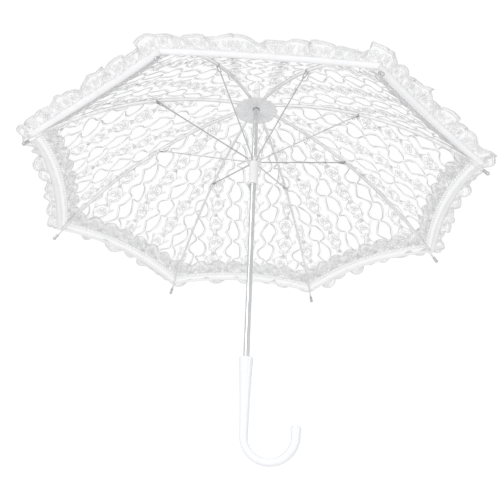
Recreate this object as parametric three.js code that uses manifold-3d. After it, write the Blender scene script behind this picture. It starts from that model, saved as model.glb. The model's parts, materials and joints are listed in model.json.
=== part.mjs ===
// A lace parasol, open: eight curved ribs on a top notch, eight stretchers down to a sliding runner,
// a chromed tube with two spring catches, a ferrule, a hooked handle and a canopy of sixteen half gores.
// Millimetres, +Z up the shaft, +X the way the hook opens; the origin is the middle of the straight grip.
import * as THREE from 'three';
import { mergeVertices } from 'three/addons/utils/BufferGeometryUtils.js';
import Module from 'manifold-3d';

const wasm = await Module();
wasm.setup();

// ---- driving dimensions ----
const RIBS = 8;
const FIRST_RIB = 28.6; // degrees, rib 1 from the plane of the hook
const HUB = 563; // height of the rib hinges
const HINGE_R = 9; // rib hinges from the shaft's axis
const RIB_BEND = 656; // radius of a rib's curve
const RIB_START = 9.96; // degrees, slope of a rib at its hinge
const JOINT_AT = 195; // along a rib to its stretcher
const HEM_AT = 438; // along a rib to the corner of the hem
const RIB_END = 455; // along a rib to its end
const SHAFT_R = 5.2;
const SHAFT_WALL = 0.7;
const GAP = 0.3; // between touching pieces

// ---- sizes that follow from them ----
const HALF_GORE = 180 / RIBS; // degrees
const JOINT = ribPoint(JOINT_AT);
const STRETCHER = Math.hypot(JOINT.x - HINGE_R, JOINT.z); // as long as the rib from hinge to joint
const RUNNER_Z = HUB + 2 * JOINT.z;
const RUNNER_TRAVEL = 256.2; // down to the closed position
const BORE_R = SHAFT_R + GAP;

// ---- rib and stretcher sections ----
const RIB_W = 3;
const RIB_H = 2.6;
const RIB_WALL = 0.45;
const STRETCHER_W = 1.7;
const STRETCHER_H = 1.6;
const WIRE_R = 0.4;
const PIN_R = 0.6;
const EAR_R = 2;

// ---- hinge rings ----
const RING_HALF = 3.3;
const NOTCH_RIM = 12.5;
const RUNNER_RIM = 13;
const SLEEVE_R = 8.2;
const SLEEVE_LENGTH = 50;
const RUNNER_WIRE_AT = 7.9;

// ---- catches ----
const CATCH_OUT = 3.8;
const CATCH_HALF_W = 1;
const TOP_CATCH_Z = RUNNER_Z - SLEEVE_LENGTH - 0.4;
const TOP_CATCH_LENGTH = 19;
const WINDOW_LOW = RUNNER_Z - 47; // the runner's window for the bottom catch
const WINDOW_HIGH = RUNNER_Z - 32;
const BOTTOM_CATCH_LENGTH = 12;
const BOTTOM_CATCH_TURN = -Math.PI / 2; // round the shaft from the top catch
const BOTTOM_CATCH_Z = WINDOW_HIGH - RUNNER_TRAVEL - 1.4;

// ---- cloth ----
const CLOTH_LIFT = 3.2; // cloth above a rib's centreline
const CLOTH_THICK = 1;
const CLOTH_START = 5.5; // along a rib to the cloth's inner edge
const HEM_DIP = 0.042; // how far the hem's middle is drawn in, as a share of its distance
const CLOTH_SAG = 5; // the middle of a gore below the line between its ribs
const RUFFLE_OUT = 30;
const RUFFLE_UP = 18;
const RUFFLE_THICK = 2;

// ---- handle ----
const GRIP_TOP = 61.5;
const HOOK_R = 39.5;
const HOOK_Z = -61;
const HOOK_END = 16;
const SOCKET_DEPTH = 50;
const FERRULE_TOP = 54; // above the hinges

const materials = {
  chrome: look(0xc9ccd0, 0.18, 1),
  steel: look(0x8b8e92, 0.35, 0.9),
  rib: look(0xdadcdd, 0.4, 0.6),
  plastic: look(0xf2f3f3, 0.3, 0),
  handle: look(0xf7f7f5, 0.15, 0),
  lace: look(0xfafaf8, 0.9, 0),
  trim: look(0xd9d9dc, 0.8, 0),
};

function look(color, roughness, metalness) {
  return new THREE.MeshStandardMaterial({ color, roughness, metalness });
}

// ---- closed meshes and booleans ----
function toSolid(geometry) {
  const bare = geometry.clone();
  bare.deleteAttribute('normal');
  bare.deleteAttribute('uv');
  const merged = mergeVertices(bare, 1e-4);
  return new wasm.Manifold(new wasm.Mesh({
    numProp: 3,
    vertProperties: new Float32Array(merged.attributes.position.array),
    triVerts: new Uint32Array(merged.index.array),
  }));
}

function toGeometry(solid) {
  const mesh = solid.getMesh();
  const geometry = new THREE.BufferGeometry();
  geometry.setAttribute('position', new THREE.BufferAttribute(mesh.vertProperties, 3));
  geometry.setIndex(new THREE.BufferAttribute(mesh.triVerts, 1));
  geometry.computeVertexNormals();
  return geometry;
}

function combine(base, added, cuts) {
  let solid = toSolid(base);
  for (const piece of added) solid = solid.add(toSolid(piece));
  for (const piece of cuts) solid = solid.subtract(toSolid(piece));
  return toGeometry(solid);
}

function lathe(profile, segments = 32) {
  const geometry = new THREE.LatheGeometry(profile.map(([r, z]) => new THREE.Vector2(r, z)), segments);
  return geometry.rotateX(Math.PI / 2);
}

// an outline in the XZ plane, given thickness along Y
function plate(outline, halfWidth, y = 0) {
  const shape = new THREE.Shape(outline.map(([x, z]) => new THREE.Vector2(x, z)));
  const geometry = new THREE.ExtrudeGeometry(shape, { depth: 2 * halfWidth, bevelEnabled: false });
  return geometry.rotateX(Math.PI / 2).translate(0, halfWidth + y, 0);
}

function box(x, y, z) {
  const size = [x[1] - x[0], y[1] - y[0], z[1] - z[0]];
  return new THREE.BoxGeometry(...size).translate((x[0] + x[1]) / 2, (y[0] + y[1]) / 2, (z[0] + z[1]) / 2);
}

// a cylinder along Y
function crossPin(radius, halfWidth, x, z, segments = 10) {
  return new THREE.CylinderGeometry(radius, radius, 2 * halfWidth, segments).translate(x, 0, z);
}

function disc(radius, x, z, from = 0, to = 360, steps = 12) {
  return Array.from({ length: steps + 1 }, (_, i) => {
    const a = THREE.MathUtils.degToRad(from + ((to - from) * i) / steps);
    return [x + radius * Math.cos(a), z + radius * Math.sin(a)];
  });
}

// rings of equal count joined in order, with flat fans over both ends
function loft(rings) {
  const count = rings[0].length;
  const points = rings.flat();
  const faces = [];
  for (let k = 0; k + 1 < rings.length; k++) {
    for (let i = 0; i < count; i++) {
      const [a, b] = [k * count + i, k * count + ((i + 1) % count)];
      faces.push(a, a + count, b, b, a + count, b + count);
    }
  }
  const last = (rings.length - 1) * count;
  for (let i = 1; i + 1 < count; i++) faces.push(0, i, i + 1, last, last + i + 1, last + i);
  return fromPoints(points, faces);
}

// a thin closed solid between two grids of (rows + 1) x (columns + 1) points
function slab(rows, columns, low, high) {
  const points = [];
  for (const face of [low, high]) {
    for (let i = 0; i <= rows; i++) {
      for (let j = 0; j <= columns; j++) points.push(face(i, j));
    }
  }
  const half = (rows + 1) * (columns + 1);
  const at = (i, j) => i * (columns + 1) + j;
  const faces = [];
  for (let i = 0; i < rows; i++) {
    for (let j = 0; j < columns; j++) {
      const [a, b, c, d] = [at(i, j), at(i + 1, j), at(i + 1, j + 1), at(i, j + 1)];
      faces.push(a, c, b, a, d, c, half + a, half + b, half + c, half + a, half + c, half + d);
    }
  }
  const rim = [];
  for (let i = 0; i < rows; i++) rim.push(at(i, 0));
  for (let j = 0; j < columns; j++) rim.push(at(rows, j));
  for (let i = rows; i > 0; i--) rim.push(at(i, columns));
  for (let j = columns; j > 0; j--) rim.push(at(0, j));
  rim.forEach((a, k) => {
    const b = rim[(k + 1) % rim.length];
    faces.push(a, b, half + b, a, half + b, half + a);
  });
  return fromPoints(points, faces);
}

function fromPoints(points, faces) {
  const geometry = new THREE.BufferGeometry().setFromPoints(points);
  geometry.setIndex(faces);
  geometry.computeVertexNormals();
  return geometry;
}

// ---- the curve of a rib, in its own radial plane: z is from the hinge ----
function ribPoint(along, lift = 0) {
  const start = THREE.MathUtils.degToRad(RIB_START);
  const slope = start + along / RIB_BEND;
  const x = HINGE_R + RIB_BEND * (Math.sin(slope) - Math.sin(start)) + lift * Math.sin(slope);
  const z = RIB_BEND * (Math.cos(slope) - Math.cos(start)) + lift * Math.cos(slope);
  return { x, z, slope };
}

function ribBand(from, to, low, high, steps) {
  const along = Array.from({ length: steps + 1 }, (_, i) => from + ((to - from) * i) / steps);
  const edge = (lift) => along.map((s) => [ribPoint(s, lift).x, ribPoint(s, lift).z]);
  return [...edge(low), ...edge(high).reverse()];
}

// ---- frame pieces ----
function ribGeometry() {
  const steps = 15;
  const eye = 1.9;
  const bar = plate(ribBand(6.5, RIB_END, -RIB_H / 2, RIB_H / 2, steps), RIB_W / 2);
  const channel = plate(ribBand(9, RIB_END + 2, -RIB_H, RIB_H / 2 - RIB_WALL, steps), RIB_W / 2 - RIB_WALL);
  const tongue = plate(ribBand(0, 8, -1.1, 1.1, 1), 0.7);
  const ring = crossPin(eye, 0.7, HINGE_R, 0, 14);
  return combine(bar, [tongue, ring], [
    channel,
    crossPin(WIRE_R + 0.35, 2, HINGE_R, 0, 10),
    crossPin(PIN_R + GAP, 3, JOINT.x, JOINT.z),
  ]);
}

// drawn with the rib's joint at the origin and the stretcher running along +X
function stretcherGeometry() {
  const half = STRETCHER_H / 2;
  const ear = (side) => plate([...disc(EAR_R, 0, 0, 90, 270, 8), [13, -half], [13, half]], 0.3, side * 2.15);
  const roundEnd = disc(half, STRETCHER - 5, 0, -90, 90, 6);
  const bar = plate([[11, -half], [STRETCHER - 5, -half], ...roundEnd, [11, half]], STRETCHER_W / 2);
  const bridge = box([11, 13], [-2.45, 2.45], [-half, half]);
  return combine(bar, [bridge, ear(1), ear(-1)], [crossPin(PIN_R + GAP, 4, 0, 0)]);
}

function rivetGeometry() {
  const [top, under, radius] = [3.25, 2.75, 1.3]; // of its two heads
  const outline = [
    [0, -top], [radius, -top], [radius, -under], [PIN_R, -under],
    [PIN_R, under], [radius, under], [radius, top], [0, top],
  ];
  return lathe(outline, 10).rotateX(Math.PI / 2);
}

// drawn with its socket's mouth at the origin and the ball along +X
function ribTipGeometry() {
  const ball = 3.2;
  const centre = 9;
  const arc = disc(ball, 0, 0, 235, 90, 9).map(([x, z]) => [-x, z]);
  const outline = [[0, 6.4], [2.3, 6.4], [2.3, 0], [2.9, 0], [2.6, 4]];
  for (const [r, z] of arc.slice(1, -1)) if (r > 0) outline.push([r, centre + z]);
  outline.push([0, centre + ball]);
  return lathe(outline, 16).rotateY(Math.PI / 2);
}

// a ring on the shaft with a radial slot for each hinge and a groove for the wire
function hingeRing(outline, slotHalf, slotFrom, grooveFrom, rim, low, high) {
  const groove = [[grooveFrom, -0.7], [rim + 1, -0.7], [rim + 1, 0.7], [grooveFrom, 0.7]];
  const cuts = [lathe([...groove, groove[0]], 32)];
  for (let i = 0; i < RIBS; i++) {
    cuts.push(box([slotFrom, rim + 1], [-slotHalf, slotHalf], [low, high]).rotateZ(azimuth(i)));
  }
  return combine(lathe([...outline, outline[0]], 32), [], cuts);
}

function topNotchGeometry() {
  const outline = [
    [BORE_R, -RING_HALF], [NOTCH_RIM, -RING_HALF],
    [NOTCH_RIM, RING_HALF], [BORE_R, RING_HALF],
  ];
  return hingeRing(outline, 1.1, 6.5, 8.2, NOTCH_RIM, -RING_HALF - 1, 2.4);
}

function runnerGeometry() {
  const outline = [
    [BORE_R, -SLEEVE_LENGTH], [SLEEVE_R - 1, -SLEEVE_LENGTH], [SLEEVE_R, -SLEEVE_LENGTH + 3],
    [SLEEVE_R, -RING_HALF], [RUNNER_RIM - 0.8, -RING_HALF], [RUNNER_RIM, -RING_HALF + 0.8],
    [RUNNER_RIM, RING_HALF - 0.8], [RUNNER_RIM - 0.8, RING_HALF], [BORE_R, RING_HALF],
  ];
  const ring = hingeRing(outline, 1.5, 6.8, 7.2, RUNNER_RIM, -RING_HALF - 0.4, RING_HALF + 1);
  const window = box([-SLEEVE_R - 1, -4], [-1.6, 1.6], [WINDOW_LOW - RUNNER_Z, WINDOW_HIGH - RUNNER_Z]);
  return combine(ring, [], [window.rotateZ(BOTTOM_CATCH_TURN)]);
}

function hingeWire(radius) {
  return new THREE.TorusGeometry(radius, WIRE_R, 6, 40);
}

function shaftGeometry() {
  const [low, high] = [GRIP_TOP - SOCKET_DEPTH + GAP, HUB + 22];
  const inner = SHAFT_R - SHAFT_WALL;
  const tube = lathe([[inner, low], [SHAFT_R, low], [SHAFT_R, high], [inner, high], [inner, low]], 32);
  const slot = (from, to) => box([-SHAFT_R - 1, -3.4], [-1.4, 1.4], [from, to]);
  return combine(tube, [], [
    slot(TOP_CATCH_Z - TOP_CATCH_LENGTH - 1, TOP_CATCH_Z + 0.6),
    slot(BOTTOM_CATCH_Z - BOTTOM_CATCH_LENGTH - 0.6, BOTTOM_CATCH_Z + 1).rotateZ(BOTTOM_CATCH_TURN),
  ]);
}

// a leaf inside the tube with a wedge through the slot; up is 1 when the flat side is on top
function catchGeometry(length, up) {
  const nose = -SHAFT_R - CATCH_OUT;
  const outline = [
    [-2.6, 0], [nose, 0], [nose, -3],
    [-4.1, -length], [-4.1, -length - 3], [-2.6, -length - 3],
  ];
  const points = outline.map(([x, z]) => [x, up * z]);
  return plate(up > 0 ? points : points.reverse(), CATCH_HALF_W);
}

function ferruleGeometry() {
  return lathe([
    [0, 23], [BORE_R, 23], [BORE_R, 6.2], [8, 6.2], [8, 8], [7, 10], [6.6, 30],
    [5, 48], [4.6, FERRULE_TOP - 1], [4, FERRULE_TOP], [0, FERRULE_TOP],
  ], 24);
}

function capGeometry() {
  const outline = [[5.8, 4.4], [16.5, 4.4], [17.5, 2.7], [19, 2.7], [18.6, 4.4], [17, 5.7], [5.8, 5.9]];
  return lathe([...outline, outline[0]], 32);
}

function rosetteGeometry() {
  const outline = [[5.8, -5.1], [13, -5.1], [40, -9.4], [40, -8.5], [13, -4.2], [5.8, -4.2]];
  return lathe([...outline, outline[0]], 32);
}

function handleGeometry() {
  const sides = 22;
  const stations = [];
  const straight = [[GRIP_TOP, 11.5], [30, 9.9], [0, 8.3], [-30, 7.1], [HOOK_Z, 6.5]];
  for (const [z, r] of straight) stations.push({ x: 0, z, turn: 0, r });
  const bends = 20;
  for (let i = 1; i <= bends; i++) {
    const turn = (Math.PI * i) / bends;
    const [x, z] = [HOOK_R * (1 - Math.cos(turn)), HOOK_Z - HOOK_R * Math.sin(turn)];
    stations.push({ x, z, turn, r: 6.4 + 0.6 * (i / bends) ** 2 });
  }
  for (const [rise, r] of [[6, 7.7], [12, 8.2], [14.6, 7.6], [HOOK_END, 6]]) {
    stations.push({ x: 2 * HOOK_R, z: HOOK_Z + rise, turn: Math.PI, r });
  }
  const ring = ({ x, z, turn, r }) => Array.from({ length: sides }, (_, i) => {
    const a = (2 * Math.PI * i) / sides;
    const side = r * Math.cos(a);
    return new THREE.Vector3(x + side * Math.cos(turn), r * Math.sin(a), z + side * Math.sin(turn));
  });
  const socket = new THREE.CylinderGeometry(BORE_R, BORE_R, SOCKET_DEPTH + 1, 32).rotateX(Math.PI / 2);
  socket.translate(0, 0, GRIP_TOP + 1 - (SOCKET_DEPTH + 1) / 2);
  return combine(loft(stations.map(ring)), [], [socket]);
}

// ---- canopy: one half of a gore, from the rib at azimuth 0 (side 0) or at the other end (side 1) ----
function clothPoint(along, across, lift) {
  const bow = 4 * across * (1 - across);
  const s = along * (1 - HEM_DIP * bow);
  const p = ribPoint(s, lift);
  const turn = THREE.MathUtils.degToRad(2 * HALF_GORE);
  const middle = Math.sin((Math.PI * along) / HEM_AT);
  return new THREE.Vector3(
    p.x * (1 - across + across * Math.cos(turn)),
    p.x * across * Math.sin(turn),
    p.z - CLOTH_SAG * bow * middle,
  );
}

function halfGoreGeometry(side) {
  const [rows, columns, ruffleRows] = [12, 3, 2];
  const chord = 2 * Math.sin(THREE.MathUtils.degToRad(HALF_GORE));
  const point = (lift, thick) => (i, j) => {
    const k = Math.min(i, rows);
    const along = CLOTH_START + ((HEM_AT - CLOTH_START) * k) / rows;
    const gap = GAP / (ribPoint(along).x * chord);
    const across = 0.5 * side + gap + (0.5 - 2 * gap) * (j / columns);
    const p = clothPoint(along, across, lift);
    const out = (i - k) / ruffleRows;
    const radial = new THREE.Vector3(p.x, p.y, 0).normalize();
    p.addScaledVector(radial, out * (RUFFLE_OUT - thick));
    p.z += out * (RUFFLE_UP + thick / 2);
    return p;
  };
  const low = point(CLOTH_LIFT, 0);
  const high = point(CLOTH_LIFT + CLOTH_THICK, RUFFLE_THICK);
  return slab(rows + ruffleRows, columns, low, high);
}

// ---- assembly ----
function azimuth(i) {
  return THREE.MathUtils.degToRad(FIRST_RIB + 2 * HALF_GORE * i);
}

const parasol = new THREE.Group();
parasol.name = 'lace_parasol';

function put(parent, name, geometry, material) {
  const mesh = new THREE.Mesh(geometry, material.clone());
  mesh.name = name;
  parent.add(mesh);
  return mesh;
}

function putShaft() {
  put(parasol, 'shaft_tube', shaftGeometry(), materials.chrome);
  put(parasol, 'handle', handleGeometry(), materials.handle);
  put(parasol, 'top_catch', catchGeometry(TOP_CATCH_LENGTH, 1), materials.steel).position.z = TOP_CATCH_Z;
  const bottom = put(parasol, 'bottom_catch', catchGeometry(BOTTOM_CATCH_LENGTH, -1), materials.steel);
  bottom.position.z = BOTTOM_CATCH_Z - BOTTOM_CATCH_LENGTH;
  bottom.rotation.z = BOTTOM_CATCH_TURN;
}

function putHub() {
  const hub = new THREE.Group();
  hub.position.z = HUB;
  put(hub, 'top_notch', topNotchGeometry(), materials.plastic);
  put(hub, 'notch_wire', hingeWire(HINGE_R), materials.steel);
  put(hub, 'canopy_cap', capGeometry(), materials.trim);
  put(hub, 'ferrule', ferruleGeometry(), materials.plastic);
  put(hub, 'inner_rosette', rosetteGeometry(), materials.trim);
  parasol.add(hub);
}

function putRunner() {
  const runner = new THREE.Group();
  runner.position.z = RUNNER_Z;
  put(runner, 'runner', runnerGeometry(), materials.plastic);
  put(runner, 'runner_wire', hingeWire(RUNNER_WIRE_AT), materials.steel);
  parasol.add(runner);
}

function putRibs() {
  const shapes = {
    rib: ribGeometry(),
    tip: ribTipGeometry(),
    rivet: rivetGeometry(),
    stretcher: stretcherGeometry(),
  };
  const mouth = ribPoint(RIB_END - 6);
  const foldBack = Math.PI - Math.atan2(-JOINT.z, JOINT.x - HINGE_R); // of a stretcher, from level
  for (let i = 0; i < RIBS; i++) {
    const arm = new THREE.Group();
    arm.position.z = HUB;
    arm.rotation.z = azimuth(i);
    put(arm, `rib_${i + 1}`, shapes.rib, materials.rib);
    const tip = put(arm, `rib_tip_${i + 1}`, shapes.tip, materials.chrome);
    tip.position.set(mouth.x, 0, mouth.z);
    tip.rotation.y = mouth.slope;
    put(arm, `rivet_${i + 1}`, shapes.rivet, materials.steel).position.set(JOINT.x, 0, JOINT.z);
    const stretcher = put(arm, `stretcher_${i + 1}`, shapes.stretcher, materials.steel);
    stretcher.position.set(JOINT.x, 0, JOINT.z);
    stretcher.rotation.y = foldBack;
    parasol.add(arm);
  }
}

function putCanopy() {
  const halves = { left: halfGoreGeometry(0), right: halfGoreGeometry(1) };
  for (let i = 0; i < RIBS; i++) {
    const gore = new THREE.Group();
    gore.position.z = HUB;
    gore.rotation.z = azimuth(i);
    put(gore, `gore_${i + 1}_left`, halves.left, materials.lace);
    put(gore, `gore_${i + 1}_right`, halves.right, materials.lace);
    parasol.add(gore);
  }
}

putShaft();
putHub();
putRunner();
putRibs();
putCanopy();

export default parasol;
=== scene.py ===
"""The looks of the lace parasol: cloth, ruffle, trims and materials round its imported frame."""

import json
import math

import bpy
import numpy as np
from mathutils import Matrix, Vector


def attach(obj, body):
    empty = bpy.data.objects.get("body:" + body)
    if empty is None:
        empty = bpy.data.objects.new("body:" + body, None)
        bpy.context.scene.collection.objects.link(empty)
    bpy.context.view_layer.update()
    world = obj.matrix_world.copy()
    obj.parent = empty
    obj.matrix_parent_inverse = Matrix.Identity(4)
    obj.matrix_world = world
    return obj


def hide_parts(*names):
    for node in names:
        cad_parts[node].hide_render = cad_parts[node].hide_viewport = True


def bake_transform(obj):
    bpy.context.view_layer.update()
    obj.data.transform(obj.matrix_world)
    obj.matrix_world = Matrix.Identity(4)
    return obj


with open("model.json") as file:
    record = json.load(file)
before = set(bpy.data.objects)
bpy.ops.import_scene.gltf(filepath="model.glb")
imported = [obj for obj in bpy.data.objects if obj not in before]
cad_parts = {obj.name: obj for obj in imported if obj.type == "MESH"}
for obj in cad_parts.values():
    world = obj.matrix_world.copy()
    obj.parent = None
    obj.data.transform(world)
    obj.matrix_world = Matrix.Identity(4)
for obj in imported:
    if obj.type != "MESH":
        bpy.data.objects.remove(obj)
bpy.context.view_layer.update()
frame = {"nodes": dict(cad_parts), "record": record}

# ---- the frame's own dimensions, in millimetres ----
MM = 0.001
RIBS = 8
FIRST_RIB = math.radians(28.6)
GORE = 2 * math.pi / RIBS
HALF = GORE / 2
HUB = 563.0
HINGE_R = 9.0
RIB_BEND = 656.0
RIB_START = math.radians(9.96)
JOINT_AT = 195.0
HEM_AT = 438.0
HEM_DIP = 0.042
CLOTH_START = 5.5
CLOTH_LIFT = 3.7
CLOTH_SAG = 5.0
RUFFLE_OUT = 25.0
RUFFLE_UP = 19.0
RUFFLE_DEPTH = math.hypot(RUFFLE_OUT, RUFFLE_UP)
FULLNESS = 2.0  # flat length of the ruffle to the hem it is sewn to
GRIP_TOP = 61.5
BORE_DEPTH = 6.0
BORE_R = 5.5
HOOK_R = 39.5
HOOK_Z = -61.0
HOOK_END = 16.0
GRIP_SHAPE = ([HOOK_Z, -30, 0, 30, GRIP_TOP], [6.5, 7.1, 8.3, 9.9, 11.5])  # height, radius
KNOB_SHAPE = ([0, 6, 12, 14.2, 15.4, HOOK_END], [7.0, 7.7, 8.2, 7.4, 5.6, 3.2])  # past the hook, radius
ROSETTE_R = 40.0
ROSETTE_EYE = 6.2  # inner edge, round the tube

# ---- the lace, in millimetres of flat cloth ----
COLUMN = 74.0  # between columns of open holes
REPEAT = 92.0  # along a column
BORDER = 44.0  # depth of the flowered border above the hem
TAPE = 8.5  # of the hem tape that lies on the ruffle
CORD = 1.9  # outline threads
FINE = 0.85  # inner threads
STEP = 2.4  # along a thread
UV_SPAN = 500.0  # millimetres of cloth in one unit of UV
UP = np.array([0, 0, 1.0])

# ---- seams, in millimetres ----
SEAM_THREADS = [(-1.2, 0.6, 0.9), (1.2, 0.6, 0.9), (0, 1.8, 0.75)]  # aside, width, above the cloth
TIES = (100.0, JOINT_AT + 8, 290.0, 380.0)  # along the rib
TIE_R = 2.9
TIE_SIDE = 2.5

# ---- surroundings ----
FLOOR_Z, FLOOR_R = -1.3, 9
ROOM_LIGHT, BACKDROP = 0.72, 1.02
LAMPS = [  # name, place, aim, size, power
    ("key", (-1.6, -2.4, 1.6), (0, 0, 0.3), 1.6, 24),
    ("fill", (2.4, -1.6, 0.2), (0, 0, 0.2), 1.8, 8),
    ("front", (0.2, -2.3, -0.6), (0, 0, 0.5), 1.8, 6.5),
    ("grip", (-0.35, -0.75, -0.25), (0.03, 0, -0.02), 0.5, 1.0),
    ("back", (0.4, 2.6, 1.8), (0, 0, 0.4), 2.0, 22),
]
LENS = 56.58
CAMERA = (0.0738, -1.1745, -0.3779)
CAMERA_RIGHT = (0.99839, 0.04489, 0.03488)
CAMERA_DOWN = (0.00933, 0.47582, -0.87950)
CAMERA_FORWARD = (-0.05607, 0.87839, 0.47460)


# ---- surfaces ----
def rib_point(along, lift=0.0):
    """Where a rib's centreline is, lift above it: distance from the axis and height above the hinge."""
    slope = RIB_START + along / RIB_BEND
    x = HINGE_R + RIB_BEND * (np.sin(slope) - math.sin(RIB_START)) + lift * np.sin(slope)
    z = RIB_BEND * (np.cos(slope) - math.cos(RIB_START)) + lift * np.cos(slope)
    return x, z


def turned(points, angle):
    c, s = math.cos(angle), math.sin(angle)
    out = points.copy()
    out[..., 0] = points[..., 0] * c - points[..., 1] * s
    out[..., 1] = points[..., 0] * s + points[..., 1] * c
    return out


def cloth(gore, aside, down, lift=0.0):
    """The canopy's surface: aside is from the gore's centreline, down is along the cloth from the hub."""
    aside, down = np.broadcast_arrays(np.asarray(aside, float), np.asarray(down, float))
    x, z = rib_point(down, CLOTH_LIFT + lift)
    across = np.clip(0.5 + aside / (2 * x * math.sin(HALF)), 0, 1)
    bow = 4 * across * (1 - across)
    middle = np.sin(math.pi * down / (1 - HEM_DIP * bow) / HEM_AT)
    points = np.stack([
        x * (1 - across + across * math.cos(GORE)),
        x * across * math.sin(GORE),
        HUB + z - CLOTH_SAG * bow * middle,
    ], axis=-1)
    return turned(points, FIRST_RIB + GORE * gore)


def half_width(down):
    """Half the distance between neighbouring ribs."""
    return rib_point(np.asarray(down, float), CLOTH_LIFT)[0] * math.sin(HALF)


def hem_down(aside):
    """Where the hem lies on the line that far from the centreline."""
    across = np.clip(0.5 + np.asarray(aside, float) / (2 * half_width(HEM_AT)), 0, 1)
    return HEM_AT * (1 - HEM_DIP * 4 * across * (1 - across))


SCALLOPS = 9  # of the ruffle's edge in a gore
STRIP = (2 * half_width(HEM_AT) * FULLNESS, RUFFLE_DEPTH)
# waves round the hem in the gathers: how many, how deep, where they start
WAVES = [(67, 0.5, 0.4), (53, 0.45, 2.1), (89, 0.3, 4.0), (29, 0.45, 1.2), (37, 0.35, 3.0)]


def waving(where, shift=0.0):
    """The gathers round the whole hem, where counts gores."""
    return sum(k * np.sin(GORE * n * where + p + shift) for n, k, p in WAVES)


def ruffle_axes(base):
    """Unit directions at points of the hem: outwards, along the ruffle, and square to its lower side."""
    radial = base * np.array([1, 1, 0])
    radial /= np.linalg.norm(radial, axis=-1, keepdims=True)
    along = (RUFFLE_OUT * radial + RUFFLE_UP * UP) / RUFFLE_DEPTH
    outer = (RUFFLE_UP * radial - RUFFLE_OUT * UP) / RUFFLE_DEPTH
    return radial, along, outer


def ruffle(gore, share, rise):
    """The gathered strip: share runs across the gore from its first rib, rise from the hem to the edge."""
    share, rise = np.broadcast_arrays(np.asarray(share, float), np.asarray(rise, float))
    aside = (2 * share - 1) * half_width(HEM_AT)
    base = cloth(gore, aside, hem_down(aside), 0.6)
    radial, along, outer = ruffle_axes(base)
    tangent = np.stack([-radial[..., 1], radial[..., 0], 0 * share], axis=-1)
    where = gore + share
    still = np.clip(np.minimum(share, 1 - share) / 0.025, 0, 1)  # sewn down beside each rib
    swell = (0.4 + 6.8 * np.clip((rise - 0.2) / 0.8, 0, 1) ** 0.7) * still  # flat under the tape
    pleat = 0.9 * (1 - rise) ** 2 * np.sin(GORE * 301 * where) * still  # drawn up at the seam
    fold = waving(where) * swell + pleat
    sway = waving(where, math.pi / 2) * swell * 0.8
    arch = 5.0 * rise**2  # the strip bends over outwards
    points = base + along * (RUFFLE_DEPTH * rise)[..., None] + outer * (fold + arch + 0.8)[..., None]
    return points - tangent * (sway * rise)[..., None] - UP * (arch * 0.4)[..., None]


# ---- meshes ----
def new_mesh(name, points, faces, uvs=None, material=None):
    data = bpy.data.meshes.new(name)
    data.from_pydata((np.asarray(points) * MM).tolist(), [], faces)
    if uvs is not None:
        layer = data.uv_layers.new(name="UVMap")
        loops = np.empty(len(data.loops), np.int32)
        data.loops.foreach_get("vertex_index", loops)
        layer.data.foreach_set("uv", np.asarray(uvs, np.float32)[loops].ravel())
    data.polygons.foreach_set("use_smooth", [True] * len(data.polygons))
    if material is not None:
        data.materials.append(material)
    piece = bpy.data.objects.new(name, data)
    bpy.context.scene.collection.objects.link(piece)
    return piece


def grid_faces(rows, columns, start=0, closed=False):
    faces = []
    across = columns if closed else columns + 1
    for i in range(rows):
        for j in range(columns):
            k = (j + 1) % across
            a, b = start + i * across + j, start + i * across + k
            faces.append((a, b, b + across, a + across))
    return faces


class Threads:
    """Gathers many thin threads and small fills into one mesh."""

    def __init__(self):
        self.points, self.faces, self.uvs, self.kinds = [], [], [], []
        self.count = 0

    def add(self, points, faces, uvs, kind):
        self.points.append(points)
        self.uvs.append(uvs)
        self.faces += [tuple(self.count + k for k in face) for face in faces]
        self.kinds += [kind] * len(faces)
        self.count += len(points)

    def thread(self, path, normals, width, thick, closed=False, kind=0):
        """A flattened thread along a path that lies on cloth."""
        if len(path) < 2:
            return
        if closed:
            ahead, behind = np.roll(path, -1, 0), np.roll(path, 1, 0)
        else:
            ahead = np.concatenate([path[1:], path[-1:]])
            behind = np.concatenate([path[:1], path[:-1]])
        along = ahead - behind
        along /= np.linalg.norm(along, axis=1, keepdims=True) + 1e-9
        side = np.cross(normals, along)
        side /= np.linalg.norm(side, axis=1, keepdims=True) + 1e-9
        up = np.cross(along, side)
        n = len(path)
        length = np.concatenate([[0], np.cumsum(np.linalg.norm(np.diff(path, axis=0), axis=1))])
        uneven = 1 + 0.25 * np.sin(length / 5.3 + path[0, 0])[:, None]
        ring = [(1, 0), (0, 1), (-1, 0), (0, -1)]
        rings = [path + uneven * (side * (0.5 * width * a) + up * (0.5 * thick * b)) for a, b in ring]
        points = np.stack(rings, axis=1).reshape(-1, 3)
        uvs = np.stack(np.broadcast_arrays(length[:, None] / UV_SPAN, np.arange(4) / 4), axis=-1)
        faces = grid_faces(n - 1, 4, 0, True)
        if closed:
            last = 4 * (n - 1)
            faces += [(last + j, last + (j + 1) % 4, (j + 1) % 4, j) for j in range(4)]
        else:
            faces += [(3, 2, 1, 0), tuple(4 * (n - 1) + j for j in range(4))]
        self.add(points, faces, uvs.reshape(-1, 2), kind)

    def fill(self, path, middle, uvs, middle_uv, kind=1):
        n = len(path)
        points = np.concatenate([path, middle[None]])
        faces = [(j, (j + 1) % n, n) for j in range(n)]
        self.add(points, faces, np.concatenate([uvs, middle_uv[None]]), kind)

    def piece(self, name, *materials):
        points = np.concatenate(self.points)
        piece = new_mesh(name, points, self.faces, np.concatenate(self.uvs))
        for material in materials:
            piece.data.materials.append(material)
        piece.data.polygons.foreach_set("material_index", self.kinds)
        return piece


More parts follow.
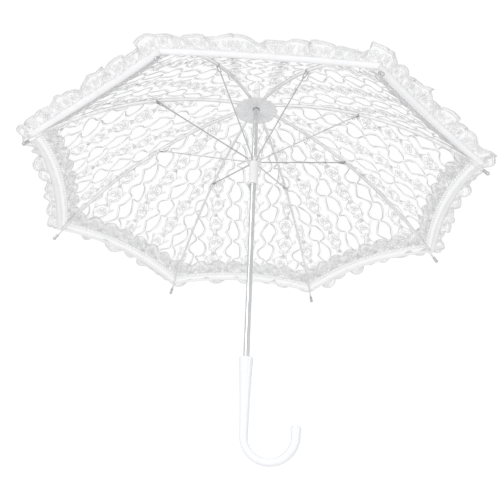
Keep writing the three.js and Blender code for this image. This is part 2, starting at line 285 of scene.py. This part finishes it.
# ---- lines of the lace, drawn flat: each is (points, closed, width, filled) ----
def spaced(points, closed, step=STEP):
    points = np.asarray(points, float)
    if closed:
        points = np.concatenate([points, points[:1]])
    lengths = np.concatenate([[0], np.cumsum(np.linalg.norm(np.diff(points, axis=0), axis=1))])
    count = max(6 if closed else 2, int(math.ceil(lengths[-1] / step)))
    at = np.linspace(0, lengths[-1], count + 1)
    out = np.stack([np.interp(at, lengths, points[:, k]) for k in (0, 1)], axis=1)
    return out[:-1] if closed else out


def oval(centre, length, width, angle, pinch=0.0, steps=20):
    """An oval, or a leaf where pinch sharpens its ends."""
    t = np.linspace(0, 2 * math.pi, steps, endpoint=False)
    x = 0.5 * length * np.cos(t)
    y = 0.5 * width * np.sin(t) * (1 - pinch * np.cos(t) ** 2)
    c, s = math.cos(angle), math.sin(angle)
    return np.stack([centre[0] + x * c - y * s, centre[1] + x * s + y * c], axis=1)


def leaf(x, y, length, width, angle, filled=True, thread=FINE):
    return (oval((x, y), length, width, angle, pinch=0.3), True, thread, filled)


def flower(x, y, size, petals, turn, thread=FINE):
    """A ring of petals round a small eye, every other one filled."""
    lines = []
    for k in range(petals):
        angle = turn + 2 * math.pi * k / petals
        middle = (x + 0.31 * size * math.cos(angle), y + 0.31 * size * math.sin(angle))
        petal = oval(middle, 0.42 * size, 0.34 * size, angle, pinch=-0.25)
        lines.append((petal, True, thread, k % 2 == 0))
    lines.append((oval((x, y), 0.2 * size, 0.2 * size, 0, steps=10), True, thread, False))
    return lines


def rose(x, y, size, turn):
    """Petals in two rings, as on the border."""
    lines = flower(x, y, 0.62 * size, 5, turn)
    for k in range(7):
        angle = turn + 2 * math.pi * (k + 0.5) / 7
        middle = (x + 0.39 * size * math.cos(angle), y + 0.39 * size * math.sin(angle))
        petal = oval(middle, 0.22 * size, 0.36 * size, angle, pinch=-0.2)
        lines.append((petal, True, 1.1, k % 2 == 0))
    return lines


def fan(x, y, size, turn):
    """Narrow petals spread from one point."""
    lines = []
    for k in range(-3, 4):
        angle = turn + 0.36 * k
        middle = (x + 0.55 * size * math.cos(angle), y + 0.55 * size * math.sin(angle))
        lines.append(leaf(*middle, 0.9 * size, 0.2 * size, angle, k % 2 == 0, 0.8))
    return lines


def uneven_lace(points, seed):
    """The give of knitted lace: nothing in it runs quite true."""
    x, y = points[:, 0], points[:, 1]
    dx = 2.2 * np.sin(y / 17 + seed) + 1.5 * np.sin(y / 7.3 + 0.11 * x + 2 * seed)
    dx += 2.0 * np.sin(x / 23 + y / 40)
    dy = 2.4 * np.sin(x / 13 + 1.7 * seed) + 1.3 * np.sin(x / 5.9 + 0.13 * y + seed)
    return points + np.stack([dx, dy], axis=1)


def hole_width(turn):
    """Half the width of an open column: a round hole, a neck, a pointed hole, a neck."""
    ring = 14.0 * np.sqrt(np.clip(1 - ((turn - 0.25) / 0.185) ** 2, 0, 1))
    point = 12.5 * np.clip(1 - np.abs(turn - 0.745) / 0.235, 0, 1) ** 0.75
    return 2.3 + np.maximum(ring, point)


def open_column(x, low, high, seed):
    """Holes in turn between two waving outlines, each with a finer line beside it."""
    down = np.arange(low, high, 1.3)
    turn = (down / REPEAT) % 1
    wide = hole_width(turn)
    lean = 2.0 * np.sin(2 * math.pi * down / REPEAT + seed)
    lines = []
    for side in (-1, 1):
        skew = 2.5 * side * np.sin(4 * math.pi * turn)
        lines.append((np.stack([x + lean + side * wide, down + skew], axis=1), False, CORD, False))
        beside = wide + 3.2 + 0.9 * np.sin(down * 0.95)
        lines.append((np.stack([x + lean + side * beside, down + skew], axis=1), False, FINE, False))
    return lines


def braid_column(x, low, high, seed):
    """Two leafy vines that part round a flower twice in each repeat."""
    down = np.arange(low, high, 1.6)
    lines = []
    for side in (-1, 1):
        swing = side * (8.5 + 5.0 * np.cos(4 * math.pi * down / REPEAT)) + 1.5 * np.sin(down / 6.1 + seed)
        lines.append((np.stack([x + swing, down], axis=1), False, 1.2, False))
    for k in range(math.floor(low / REPEAT), math.ceil(high / REPEAT) + 1):
        for half in (0.0, 0.5):
            size = 17 + 3 * math.sin(3 * k + seed)
            lines += flower(x, (k + half) * REPEAT, size, 6, seed + 0.7 * k + half)
    pitch = REPEAT / 8
    for k in range(math.floor(low / pitch), math.ceil(high / pitch)):
        y = (k + 0.5) * pitch
        reach = 8.5 + 5.0 * math.cos(4 * math.pi * y / REPEAT)
        for side in (-1, 1):
            tilt = math.pi / 2 + side * (0.75 if k % 2 else -0.6)
            step = 3.4 if k % 2 else -3.2
            lines.append(leaf(x + side * (reach + step), y + 1.5 * side, 10.5, 4.9, tilt, k % 3 != 0))
            if reach < 8:
                lines.append((oval((x, y), 6.5, 4.6, math.pi / 2), True, FINE, False))
    return lines


def border(seed):
    """A crowded band of roses, fans, leaves and rings above the hem, drawn at heights above it."""
    lines = []
    reach = half_width(HEM_AT)
    along = np.arange(-reach, reach, 1.2)
    pitch = COLUMN / 2
    arch = np.abs(np.sin(math.pi * along / pitch))
    lines.append((np.stack([along, 34 + 10 * arch], axis=1), False, CORD, False))
    lines.append((np.stack([along, 30.5 + 10 * arch], axis=1), False, FINE, False))
    lines.append((np.stack([along, 17.5 + 1.6 * np.sin(along * 0.8)], axis=1), False, 1.3, False))
    for k in range(-5, 6):
        x = k * pitch
        lines += rose(x + 0.5 * pitch, 29 + 2 * math.sin(2 * k + seed), 19, seed + k)
        lines += fan(x, 17.5, 15, math.pi / 2 + 0.2 * math.sin(k + seed))
        for side in (-1, 1):
            lines.append(leaf(x + side * 7.5, 36.5, 9.5, 4.6, side * 0.9))
            lines.append(leaf(x + side * 5.0, 22, 9, 4.2, side * 0.5, False))
    scatter = np.random.default_rng(int(10 * seed) + 3)
    for _ in range(150):
        x, y = scatter.uniform(-reach, reach), scatter.uniform(18, 37)
        size = scatter.uniform(3.6, 6.5)
        lines.append((oval((x, y), size, 0.75 * size, scatter.uniform(0, 3)), True, 0.8, False))
    for x in np.arange(-reach - 4, reach + 8, 8.6):
        lines.append((oval((x, 13.6), 7.4, 6.2, 0, pinch=-0.1), True, FINE, False))
    return lines


def canopy_lines(gore):
    """All lines of a gore as (aside, down)."""
    seed = 1.9 * gore
    along = REPEAT * ((gore * 5) % 8) / 8  # each gore is cut from another place in the lace
    beside = COLUMN * ((gore * 3) % 8) / 8
    lines = []
    for k in range(-4, 4):
        x = k * COLUMN + beside
        lines += open_column(x, 0, HEM_AT + REPEAT, seed + k)
        lines += braid_column(x + 0.5 * COLUMN, 0, HEM_AT + REPEAT, seed - k)
    return [(uneven_lace(p, seed) - [0, along - 20], *rest) for p, *rest in lines]


def runs(keep, closed):
    """Stretches of True in a line, as arrays of indices; a whole closed line stays closed."""
    if keep.all():
        return [(np.arange(len(keep)), closed)]
    index = np.arange(len(keep))
    if closed:
        first = int(np.argmin(keep))
        index = np.roll(index, -first)
    out, now = [], []
    for i in index:
        if keep[i]:
            now.append(i)
        elif now:
            out.append((np.array(now), False))
            now = []
    if now:
        out.append((np.array(now), False))
    return [r for r in out if len(r[0]) > 1]


def on_cloth(gore, flat):
    """Points and normals of the cloth at (aside, down)."""
    aside, down = flat[:, 0], flat[:, 1]
    here = cloth(gore, aside, down)
    normal = np.cross(cloth(gore, aside, down + 1) - here, cloth(gore, aside - 1, down) - here)
    return here, normal / (np.linalg.norm(normal, axis=1, keepdims=True) + 1e-9)


def lay(threads, gore, lines, side, low, high):
    """Puts a gore's lines on its half at that side, cut off at the seam, the centreline and the border."""
    for points, closed, width, filled in lines:
        flat = spaced(points, closed)
        depth = hem_down(flat[:, 0]) - flat[:, 1]
        room = half_width(np.clip(flat[:, 1], 0, HEM_AT)) - 1.6
        keep = (np.abs(flat[:, 0]) < room) & (flat[:, 0] * side >= -0.01)
        keep &= (depth > low) & (depth < high) & (flat[:, 1] > 42)
        for index, whole in runs(keep, closed):
            path, normals = on_cloth(gore, flat[index])
            threads.thread(path, normals, width, 0.45 * width + 0.15, whole)
            if filled and whole:
                middle = flat[index].mean(0)[None]
                centre, _ = on_cloth(gore, middle)
                uv = flat[index] / UV_SPAN + 0.5
                threads.fill(path, centre[0], uv, middle[0] / UV_SPAN + 0.5)


# ---- materials ----
def material(name, base, roughness=0.5, **sockets):
    mat = bpy.data.materials.new(name)
    mat.use_nodes = True
    shader = mat.node_tree.nodes["Principled BSDF"]
    shader.inputs["Base Color"].default_value = (*base, 1)
    shader.inputs["Roughness"].default_value = roughness
    for key, value in sockets.items():
        shader.inputs[key.replace("_", " ")].default_value = value
    return mat


def add(mat, kind, **values):
    node = mat.node_tree.nodes.new(kind)
    for key, value in values.items():
        if key in node.inputs:
            node.inputs[key].default_value = value
        else:
            setattr(node, key, value)
    return node


def link(mat, source, target):
    mat.node_tree.links.new(source, target)


def shader_of(mat):
    return mat.node_tree.nodes["Principled BSDF"]


def varied(mat, low, high, scale, detail=3.0):
    """Colour that drifts between two tones over the surface."""
    place = add(mat, "ShaderNodeTexCoord")
    noise = add(mat, "ShaderNodeTexNoise", Scale=scale, Detail=detail)
    ramp = add(mat, "ShaderNodeValToRGB")
    ramp.color_ramp.elements[0].position, ramp.color_ramp.elements[1].position = 0.32, 0.68
    ramp.color_ramp.elements[0].color, ramp.color_ramp.elements[1].color = (*low, 1), (*high, 1)
    link(mat, place.outputs["Object"], noise.inputs["Vector"])
    link(mat, noise.outputs["Fac"], ramp.inputs["Fac"])
    link(mat, ramp.outputs["Color"], shader_of(mat).inputs["Base Color"])
    return noise


def uneven(mat, low, high, scale):
    """Roughness that varies between two values."""
    place = add(mat, "ShaderNodeTexCoord")
    noise = add(mat, "ShaderNodeTexNoise", Scale=scale, Detail=4.0)
    spread = add(mat, "ShaderNodeMapRange")
    spread.inputs["To Min"].default_value, spread.inputs["To Max"].default_value = low, high
    link(mat, place.outputs["Object"], noise.inputs["Vector"])
    link(mat, noise.outputs["Fac"], spread.inputs["Value"])
    link(mat, spread.outputs["Result"], shader_of(mat).inputs["Roughness"])


def bumped(mat, height, strength, distance):
    bump = add(mat, "ShaderNodeBump", Strength=strength, Distance=distance)
    link(mat, height, bump.inputs["Height"])
    link(mat, bump.outputs["Normal"], shader_of(mat).inputs["Normal"])


def fine_noise(mat, scale, detail=2.0):
    place = add(mat, "ShaderNodeTexCoord")
    noise = add(mat, "ShaderNodeTexNoise", Scale=scale, Detail=detail)
    link(mat, place.outputs["Object"], noise.inputs["Vector"])
    return noise.outputs["Fac"]


def metal(name, low, high, roughness, spread, scale=90.0):
    mat = material(name, high, roughness, Metallic=1.0)
    varied(mat, low, high, scale)
    uneven(mat, roughness, roughness + spread, 4 * scale)
    bumped(mat, fine_noise(mat, 12 * scale), 0.12, 0.0001)
    return mat


def plastic(name, low, high, roughness, coat):
    mat = material(name, high, roughness, Coat_Weight=coat, Coat_Roughness=0.06)
    varied(mat, low, high, 14.0)
    uneven(mat, roughness, roughness + 0.08, 60.0)
    bumped(mat, fine_noise(mat, 90.0), 0.02, 0.0002)
    return mat


def netted(name, base, holes, thread):
    """Knitted net: open where the cells are, holes is how many cells lie in a unit of UV."""
    mat = material(name, base, 0.75, Sheen_Weight=0.25)
    place = add(mat, "ShaderNodeUVMap", uv_map="UVMap")
    cells = add(mat, "ShaderNodeTexVoronoi", Scale=holes, Randomness=0.28, feature="DISTANCE_TO_EDGE")
    cells.voronoi_dimensions = "2D"
    spin = add(mat, "ShaderNodeMapping")
    spin.inputs["Rotation"].default_value = (0, 0, math.radians(45))
    edge = add(mat, "ShaderNodeMath", operation="LESS_THAN")
    edge.inputs[1].default_value = thread
    link(mat, place.outputs["UV"], spin.inputs["Vector"])
    link(mat, spin.outputs["Vector"], cells.inputs["Vector"])
    link(mat, cells.outputs["Distance"], edge.inputs[0])
    link(mat, edge.outputs["Value"], shader_of(mat).inputs["Alpha"])
    bumped(mat, cells.outputs["Distance"], 0.25, 0.0003)
    varied(mat, tuple(0.97 * c for c in base), base, 40.0)
    return mat


def yarn(name, low, high):
    """Spun thread: fibres run round it."""
    mat = material(name, high, 0.7, Sheen_Weight=0.3, Sheen_Roughness=0.4)
    varied(mat, low, high, 120.0)
    place = add(mat, "ShaderNodeUVMap", uv_map="UVMap")
    twist = add(mat, "ShaderNodeMapping")
    twist.inputs["Scale"].default_value = (900.0, 2.0, 1.0)
    strands = add(mat, "ShaderNodeTexWave", Scale=1.0, Distortion=1.5, bands_direction="DIAGONAL")
    link(mat, place.outputs["UV"], twist.inputs["Vector"])
    link(mat, twist.outputs["Vector"], strands.inputs["Vector"])
    bumped(mat, strands.outputs["Fac"], 0.35, 0.0002)
    return mat


def satin(name, low, high):
    """Woven tape: fine ribs across it and a line of stitches at each edge."""
    mat = material(name, high, 0.38, Sheen_Weight=0.35, Sheen_Roughness=0.3)
    varied(mat, low, high, 30.0)
    place = add(mat, "ShaderNodeUVMap", uv_map="UVMap")
    ribs = add(mat, "ShaderNodeTexWave", Scale=520.0, Distortion=0.6, Detail=1.0)
    stretch = add(mat, "ShaderNodeMapping")
    stretch.inputs["Scale"].default_value = (1.0, 0.02, 1.0)
    link(mat, place.outputs["UV"], stretch.inputs["Vector"])
    link(mat, stretch.outputs["Vector"], ribs.inputs["Vector"])
    bumped(mat, ribs.outputs["Fac"], 0.22, 0.0003)
    return mat


def pleated(name, low, high):
    mat = material(name, high, 0.8, Sheen_Weight=0.3)
    varied(mat, low, high, 55.0)
    place = add(mat, "ShaderNodeUVMap", uv_map="UVMap")
    weave = add(mat, "ShaderNodeTexWave", Scale=260.0, Distortion=2.0, Detail=2.0)
    link(mat, place.outputs["UV"], weave.inputs["Vector"])
    bumped(mat, weave.outputs["Fac"], 0.3, 0.0003)
    return mat


MATERIALS = {
    "handle_plastic": plastic("glossy_white", (0.86, 0.87, 0.895), (0.88, 0.89, 0.915), 0.16, 0.6),
    "hub_plastic": plastic("satin_white", (0.84, 0.84, 0.84), (0.90, 0.90, 0.89), 0.42, 0.1),
    "shaft_chrome": metal("bright_tube", (0.78, 0.79, 0.80), (0.86, 0.87, 0.88), 0.10, 0.08),
    "spring_steel": metal("dark_steel", (0.52, 0.52, 0.53), (0.66, 0.66, 0.67), 0.34, 0.15),
    "rib_steel": plastic("painted_steel", (0.88, 0.88, 0.88), (0.94, 0.94, 0.94), 0.36, 0.15),
    "tip_metal": metal("tip_steel", (0.52, 0.52, 0.53), (0.64, 0.64, 0.65), 0.26, 0.12),
    # the canopy's lace yarn is greyer than the ruffle's and the seams' yarn: painted shade under the
    # canopy
    "lace_fabric": yarn("shaded_lace_thread", (0.66, 0.66, 0.67), (0.77, 0.77, 0.77)),
    # the rosette's cloth is greyer than the satin tape: painted shade inside the hub
    "trim_fabric": pleated("shaded_trim_cloth", (0.78, 0.78, 0.79), (0.88, 0.88, 0.89)),
}
NET = netted("lace_net", (0.92, 0.92, 0.92), 240.0, 0.03)
CLOTHWORK = netted("lace_clothwork", (0.86, 0.86, 0.86), 700.0, 0.10)
BORDER_NET = netted("border_net", (0.84, 0.84, 0.85), 300.0, 0.085)
RUFFLE_NET = netted("ruffle_net", (0.84, 0.84, 0.85), 240.0, 0.075)
SATIN = satin("satin_tape", (0.93, 0.93, 0.945), (0.97, 0.97, 0.98))
# the ruffle's and the seams' yarns are lighter copies of the same white lace yarn: painted light on the
# ruffle and on the seams over the ribs
LIT_EDGING = yarn("lit_edging_thread", (0.78, 0.78, 0.79), (0.88, 0.88, 0.88))
LIT_SEWING = yarn("lit_sewing_thread", (0.88, 0.88, 0.88), (0.94, 0.94, 0.94))


def dress_frame():
    """Gives every CAD node that stays in view its own material."""
    slots = {part["node"]: part["material_slot"] for part in frame["record"]["subparts"]}
    for name, node in frame["nodes"].items():
        if slots[name] in MATERIALS:
            for place in node.material_slots:
                place.material = MATERIALS[slots[name]]


# ---- pieces ----
def sides():
    """Each half gore as its gore, its side, the rib it hangs on, and the way to that rib."""
    for gore in range(RIBS):
        yield gore, "left", gore, -1
        yield gore, "right", (gore + 1) % RIBS, 1


def bend(piece):
    """Bakes the piece's placement into its mesh."""
    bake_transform(piece)


def net_half(gore, side, toward):
    """The net of half a gore, closer knitted along the border."""
    rows, columns = 60, 14
    along = np.linspace(CLOTH_START, HEM_AT, rows + 1)[:, None]
    across = 0.5 + 0.5 * toward * np.linspace(0, 1, columns + 1)[None]
    bow = 4 * across * (1 - across)
    down = along * (1 - HEM_DIP * bow)
    aside = (2 * across - 1) * half_width(down)
    points = cloth(gore, aside, down)
    uvs = np.stack([aside, down], axis=-1) / UV_SPAN + 0.5
    name = f"lace_{gore + 1}_{side}"
    piece = new_mesh(name, points.reshape(-1, 3), grid_faces(rows, columns), uvs.reshape(-1, 2), NET)
    piece.data.materials.append(BORDER_NET)
    first = int(rows * (HEM_AT - BORDER + 4 - CLOTH_START) / (HEM_AT - CLOTH_START))
    kinds = np.repeat(np.arange(rows) >= first, columns).astype(np.int32)
    piece.data.polygons.foreach_set("material_index", kinds)
    return piece


def lacework_half(gore, side, toward):
    """The threads and filled leaves and petals on half a gore."""
    threads = Threads()
    lay(threads, gore, canopy_lines(gore), toward, BORDER - 6, HEM_AT)
    above = []
    for points, *rest in border(0.8 * gore):
        down = hem_down(points[:, 0]) - points[:, 1]
        above.append((np.stack([points[:, 0], down], axis=1), *rest))
    lay(threads, gore, above, toward, 2.0, BORDER + 4)
    return threads.piece(f"lacework_{gore + 1}_{side}", MATERIALS["lace_fabric"], CLOTHWORK)


def tape_half(gore, side, toward):
    """Satin folded over the hem; its free edge lies over the foot of the ruffle and is puckered by it."""
    steps = 110
    share = np.linspace(0, 1, steps + 1)
    aside = toward * share * (half_width(HEM_AT) - 0.3)
    hem = hem_down(aside)
    base = cloth(gore, aside, hem)
    inward = cloth(gore, aside, hem - 1) - base
    inward /= np.linalg.norm(inward, axis=1, keepdims=True)
    normal = cloth(gore, aside, hem, 1) - base
    _, along, outer = ruffle_axes(base)
    pucker = np.sin(GORE * 151 * (gore + 0.5 + 0.5 * toward * share))[:, None]
    folded = [(2.8, 0.75), (1.4, 0.9), (0.0, 1.0)]  # in from the hem, half the thickness of both layers
    loose = [(2.5, 1.9), (5.5, 2.5), (TAPE, 2.9)]  # along the ruffle, out from it
    layers = []
    for face in (1, -1):
        layer = [base + depth * inward + face * thick * normal for depth, thick in folded]
        for reach, out in loose:
            off = out - face * 0.45 + 0.04 * reach * pucker
            layer.append(base + reach * along + off * outer)
        layers.append(layer)
    rings = layers[0] + layers[1][::-1]
    count = len(rings)
    points = np.stack(rings, axis=1).reshape(-1, 3)
    u = (aside / UV_SPAN + 0.5)[:, None]
    uvs = np.stack(np.broadcast_arrays(u, np.arange(count) / count), axis=-1)
    faces = grid_faces(steps, count, 0, True)
    faces += [tuple(range(count))[::-1], tuple(steps * count + j for j in range(count))]
    return new_mesh(f"hem_tape_{gore + 1}_{side}", points, faces, uvs.reshape(-1, 2), SATIN)


def half_shares(toward, count):
    """Shares of a gore from its rib to its centreline, or the other way."""
    return np.linspace(0.5, 1, count) if toward > 0 else np.linspace(0, 0.5, count)


def scallop(where):
    """How far the ruffle's edge reaches, as a share of its depth."""
    deep = 0.80 + 0.17 * np.abs(np.sin(math.pi * SCALLOPS * where)) ** 0.7
    return deep + 0.10 * np.sin(GORE * 23 * where) + 0.09 * np.sin(GORE * 39 * where + 1)


def ruffle_half(gore, side, toward):
    rows, columns = 12, 150
    share = half_shares(toward, columns + 1)[None]
    rise = np.linspace(0.0, 1, rows + 1)[:, None] * scallop(gore + share)
    points = ruffle(gore, share, rise)
    lengths = np.broadcast_to(share * STRIP[0] / UV_SPAN, rise.shape)
    uvs = np.stack([lengths, rise * STRIP[1] / UV_SPAN], axis=-1)
    name = f"ruffle_{gore + 1}_{side}"
    return new_mesh(name, points.reshape(-1, 3), grid_faces(rows, columns), uvs.reshape(-1, 2), RUFFLE_NET)


def ruffle_lines(gore):
    """Lines of the edging in millimetres of flat strip, from its first rib and from the hem."""
    long, deep = STRIP
    along = np.linspace(0, long, 700)
    edge = deep * scallop(gore + along / long)
    lines = [(np.stack([along, edge], axis=1), False, 2.2, False)]
    lines.append((np.stack([along, edge - 4.2], axis=1), False, FINE, False))
    lines.append((np.stack([along, 0.27 * deep + 1.5 * np.sin(along / 3.1)], axis=1), False, FINE, False))
    for x in np.arange(3, long, 6.4):
        height = float(np.interp(x, along, edge)) - 2.2
        lines.append((oval((x, height), 4.6, 3.2, 0, steps=10), True, 0.8, False))
    for x in np.arange(4, long, 9.0):
        lines.append((oval((x, 0.14 * deep), 7.2, 5.2, 0, steps=12), True, 0.8, False))
    count = 2 * SCALLOPS
    for k in range(count):
        x = (k + 0.5) * long / count + 2.5 * math.sin(1.9 * k + gore)
        size = 13.5 + 3.5 * math.sin(2.3 * k + gore)
        lines += flower(x, (0.56 + 0.05 * math.sin(3.1 * k)) * deep, size, 6, 0.5 * k)
        for side in (-1, 1):
            lines.append(leaf(x + side * 10.5, 0.60 * deep, 11, 4.6, side * 0.9))
            lines.append(leaf(x + side * 11, 0.38 * deep, 9, 4, -side * 0.5, False))
    return lines


def ruffle_work_half(gore, side, toward):
    threads = Threads()
    strip = np.array(STRIP)
    for points, closed, width, filled in ruffle_lines(gore):
        flat = spaced(points, closed, 2.0)
        share = flat[:, 0] / strip[0]
        keep = ((share - 0.5) * toward >= -0.0005) & (share >= 0) & (share <= 1)
        for index, whole in runs(keep, closed):
            at = flat[index] / strip
            path = ruffle(gore, at[:, 0], at[:, 1])
            beside = ruffle(gore, at[:, 0] + 0.0008, at[:, 1]) - path
            above = ruffle(gore, at[:, 0], at[:, 1] + 0.01) - path
            normals = np.cross(beside, above)
            normals /= np.linalg.norm(normals, axis=1, keepdims=True) + 1e-9
            threads.thread(path, normals, width, 0.5 * width + 0.1, whole)
            if filled and whole:
                centre = at.mean(0)
                middle = ruffle(gore, centre[:1], centre[1:])[0]
                threads.fill(path, middle, at * strip / UV_SPAN, centre * strip / UV_SPAN)
    return threads.piece(f"ruffle_work_{gore + 1}_{side}", LIT_EDGING, CLOTHWORK)


def make_canopy():
    for gore, side, rib, toward in sides():
        net = net_half(gore, side, toward)
        work = lacework_half(gore, side, toward)
        tape = tape_half(gore, side, toward)
        strip = ruffle_half(gore, side, toward)
        edging = ruffle_work_half(gore, side, toward)
        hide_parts(f"gore_{gore + 1}_{side}")
        for piece in (net, work, tape, strip, edging):
            bend(piece)


def make_seams():
    """Sewn seams over the ribs, with the threads that tie the cloth to them."""
    down = np.linspace(14, HEM_AT - 1, 170)
    slope = RIB_START + down / RIB_BEND
    round_rib = np.linspace(0, 2 * math.pi, 20, endpoint=False)
    for rib in range(RIBS):
        angle = FIRST_RIB + GORE * rib
        threads = Threads()
        for shift, width, lift in SEAM_THREADS:
            x, z = rib_point(down, CLOTH_LIFT + lift)
            path = np.stack([x, shift + 0.25 * np.sin(down * 0.7), HUB + z], axis=1)
            normals = np.stack([np.sin(slope), 0 * down, np.cos(slope)], axis=1)
            threads.thread(turned(path, angle), turned(normals, angle), width, 0.45)
        for place in TIES:
            tilt = RIB_START + place / RIB_BEND
            high, beside = np.sin(round_rib), np.cos(round_rib)
            normals = np.stack([high * math.sin(tilt), beside, high * math.cos(tilt)], axis=1)
            for slip in (-0.7, 0.7):
                x, z = rib_point(place + slip, 1.1)
                loop = normals * (TIE_R, TIE_SIDE, TIE_R) + (x, 0, HUB + z)
                threads.thread(turned(loop, angle), turned(normals, angle), 0.5, 0.4, True)
        seam = threads.piece(f"seam_{rib + 1}", LIT_SEWING)
        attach(seam, f"rib_{rib + 1}")


def make_rosette():
    """The pleated rosette inside the hub, one wedge to each rib."""
    rows, columns = 14, 36
    for rib in range(RIBS):
        axis = FIRST_RIB + GORE * rib
        radius = np.linspace(ROSETTE_EYE, ROSETTE_R, rows + 1)[:, None]
        angle = np.linspace(-HALF, HALF, columns + 1)[None]
        corner = 1 - 0.05 * np.cos(RIBS * angle / 2) ** 2 + 0.02 * np.cos(24 * angle)
        reach = ROSETTE_EYE + (radius - ROSETTE_EYE) * corner
        pleat = 0.75 * np.cos(24 * angle) * np.clip((radius - 8) / 14, 0, 1)
        drop = -5.0 - 4.2 * np.clip((radius - 13) / 27, 0, 1) ** 1.1
        points = np.stack([reach * np.cos(angle), reach * np.sin(angle), HUB + drop + pleat], axis=-1)
        points = turned(points, axis).reshape(-1, 3)
        uvs = np.stack(np.broadcast_arrays(angle / GORE + 0.5, radius / 60), axis=-1).reshape(-1, 2)
        faces = grid_faces(rows, columns)
        wedge = new_mesh(f"rosette_{rib + 1}", points, faces, uvs, MATERIALS["trim_fabric"])
        thick = wedge.modifiers.new("thickness", "SOLIDIFY")
        thick.thickness, thick.offset = 0.0005, 0
        apply_modifiers(wedge)
        ends = (np.array([r * math.cos(axis), r * math.sin(axis), HUB]) * MM for r in (6, 15))
        near, far = (tuple(end) for end in ends)
        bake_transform(wedge)
    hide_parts("inner_rosette")


def apply_modifiers(piece):
    graph = bpy.context.evaluated_depsgraph_get()
    done = bpy.data.meshes.new_from_object(piece.evaluated_get(graph))
    piece.modifiers.clear()
    piece.data = done


def handle_stations():
    """The handle's rings as (x, z, turn, radius), from inside its bore to the hook's end."""
    stations = [(0, GRIP_TOP - BORE_DEPTH, 0, BORE_R), (0, GRIP_TOP, 0, BORE_R), (0, GRIP_TOP, 0, 10.9)]
    stations += [(0, GRIP_TOP - 0.15, 0, 11.3), (0, GRIP_TOP - 0.8, 0, 11.5)]
    for z in np.linspace(GRIP_TOP - 1.5, HOOK_Z, 40):
        stations.append((0, z, 0, float(np.interp(z, *GRIP_SHAPE))))
    bends = 80
    for k in range(1, bends + 1):
        turn = math.pi * k / bends
        x, z = HOOK_R * (1 - math.cos(turn)), HOOK_Z - HOOK_R * math.sin(turn)
        stations.append((x, z, turn, 6.4 + 0.6 * (k / bends) ** 2))
    for rise in np.linspace(0.6, HOOK_END, 26):
        stations.append((2 * HOOK_R, HOOK_Z + rise, math.pi, float(np.interp(rise, *KNOB_SHAPE))))
    return stations


def make_handle():
    """The hooked handle with its round turned end."""
    around = 56
    a = np.linspace(0, 2 * math.pi, around, endpoint=False)
    rings = []
    for x, z, turn, r in handle_stations():
        side = r * np.cos(a)
        ring = [x + side * math.cos(turn), r * np.sin(a), z + side * math.sin(turn)]
        rings.append(np.stack(ring, axis=1))
    faces = grid_faces(len(rings) - 1, around, 0, True)
    faces.append(tuple((len(rings) - 1) * around + j for j in range(around)))
    points, outward = np.concatenate(rings), [face[::-1] for face in faces]
    piece = new_mesh("handle_smooth", points, outward, None, MATERIALS["handle_plastic"])
    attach(piece, "shaft")
    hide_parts("handle")


# ---- surroundings ----
def make_stage():
    place = (0, 0, FLOOR_Z)
    bpy.ops.mesh.primitive_circle_add(vertices=96, radius=FLOOR_R, fill_type="NGON", location=place)
    floor = bpy.context.object
    floor.name = "floor"
    pale = material("pale_floor", (0.93, 0.93, 0.93), 0.9)
    varied(pale, (0.92, 0.92, 0.92), (0.94, 0.94, 0.94), 3.0)
    floor.data.materials.append(pale)


def make_world():
    scene = bpy.context.scene
    world = bpy.data.worlds.new("studio")
    scene.world = world
    world.use_nodes = True
    tree = world.node_tree
    light = tree.nodes["Background"]
    light.inputs["Color"].default_value = (1, 1, 1, 1)
    light.inputs["Strength"].default_value = ROOM_LIGHT
    seen = tree.nodes.new("ShaderNodeBackground")
    seen.inputs["Color"].default_value = (1, 1, 1, 1)
    seen.inputs["Strength"].default_value = BACKDROP
    path = tree.nodes.new("ShaderNodeLightPath")
    mix = tree.nodes.new("ShaderNodeMixShader")
    tree.links.new(path.outputs["Is Camera Ray"], mix.inputs["Fac"])
    tree.links.new(light.outputs["Background"], mix.inputs[1])
    tree.links.new(seen.outputs["Background"], mix.inputs[2])
    tree.links.new(mix.outputs["Shader"], tree.nodes["World Output"].inputs["Surface"])
    scene.view_settings.view_transform = "Standard"
    scene.view_settings.look = "None"


def area_light(name, place, aim, size, power):
    data = bpy.data.lights.new(name, "AREA")
    data.shape = "DISK"
    data.size = size
    data.energy = power
    lamp = bpy.data.objects.new(name, data)
    bpy.context.scene.collection.objects.link(lamp)
    lamp.location = place
    lamp.rotation_mode = "QUATERNION"
    lamp.rotation_quaternion = (Vector(aim) - Vector(place)).to_track_quat("-Z", "Y")


def make_camera():
    data = bpy.data.cameras.new("camera")
    data.lens = LENS
    data.sensor_width = 36
    camera = bpy.data.objects.new("camera", data)
    bpy.context.scene.collection.objects.link(camera)
    up, back = (tuple(-c for c in axis) for axis in (CAMERA_DOWN, CAMERA_FORWARD))
    turn = Matrix((CAMERA_RIGHT, up, back)).transposed()
    camera.matrix_world = Matrix.Translation(CAMERA) @ turn.to_4x4()
    bpy.context.scene.camera = camera


make_world()
make_camera()
for lamp in LAMPS:
    area_light(*lamp)
make_stage()
dress_frame()
make_handle()
make_canopy()
make_seams()
make_rosette()
